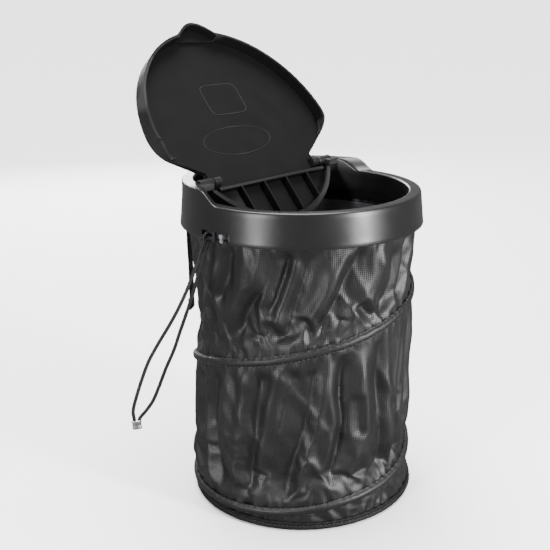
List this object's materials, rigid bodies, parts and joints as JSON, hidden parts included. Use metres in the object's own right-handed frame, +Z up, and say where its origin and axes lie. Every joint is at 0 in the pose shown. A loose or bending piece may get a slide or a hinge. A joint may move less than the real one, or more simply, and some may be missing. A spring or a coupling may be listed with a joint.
{
  "type": "car trash bin",
  "caption": "Pop-up car trash bin: moulded ring with a hinged flip lid over a collapsible round fabric bag held open by a spiral spring wire, with an elastic hanging loop.",
  "frame": {"origin": "centre of the bag's round base, on the surface it stands on", "axes": "+Z up along the bag; -Y towards the thumb tab of the closed lid; X along the hinge axis"},
  "size_m": [0.2115, 0.1933, 0.3224],
  "materials": {
    "ring_plastic": "moulded ABS with a satin, lightly polished skin",
    "lid_plastic": "moulded ABS with a fine matt grain",
    "hidden_plastic": "moulded, matt",
    "bag_fabric": "black coated Oxford nylon with a soft sheen and creases",
    "binding": "woven binding tape, stitched",
    "webbing": "narrow woven webbing",
    "spring_steel": "drawn spring wire",
    "elastic": "braided cover over a rubber core",
    "crimp_metal": "pressed bright metal",
    "peg_plastic": "pale grey moulded plastic"
  },
  "bodies": {
    "rim": {"rim_ring": "ring_plastic", "clamp_ring": "hidden_plastic", "top_hem": "binding", "bag_wall": "bag_fabric", "spiral_casing": "bag_fabric", "spring_wire": "spring_steel", "cord_loop": "elastic", "cord_crimp": "crimp_metal", "cord_peg": "peg_plastic", "hang_strap": "webbing"},
    "lid": {"lid": "lid_plastic"},
    "base": {"bag_floor": "bag_fabric", "bottom_hem": "binding", "bottom_hoop": "spring_steel"}
  },
  "joints": [
    {"name": "lid_hinge", "type": "hinge", "parent": "rim", "child": "lid", "pos_m": [0, 0.0316, 0.2257], "axis": [1, 0, 0], "range_deg": [0, 130]},
    {"name": "bag_collapse", "type": "slide", "parent": "rim", "child": "base", "axis": [0, 0, 1], "range_m": [0, 0.17], "stiffness_N_per_m": 80, "springref_m": -0.05, "deforming": ["bag_wall", "spiral_casing", "spring_wire"]}
  ]
}
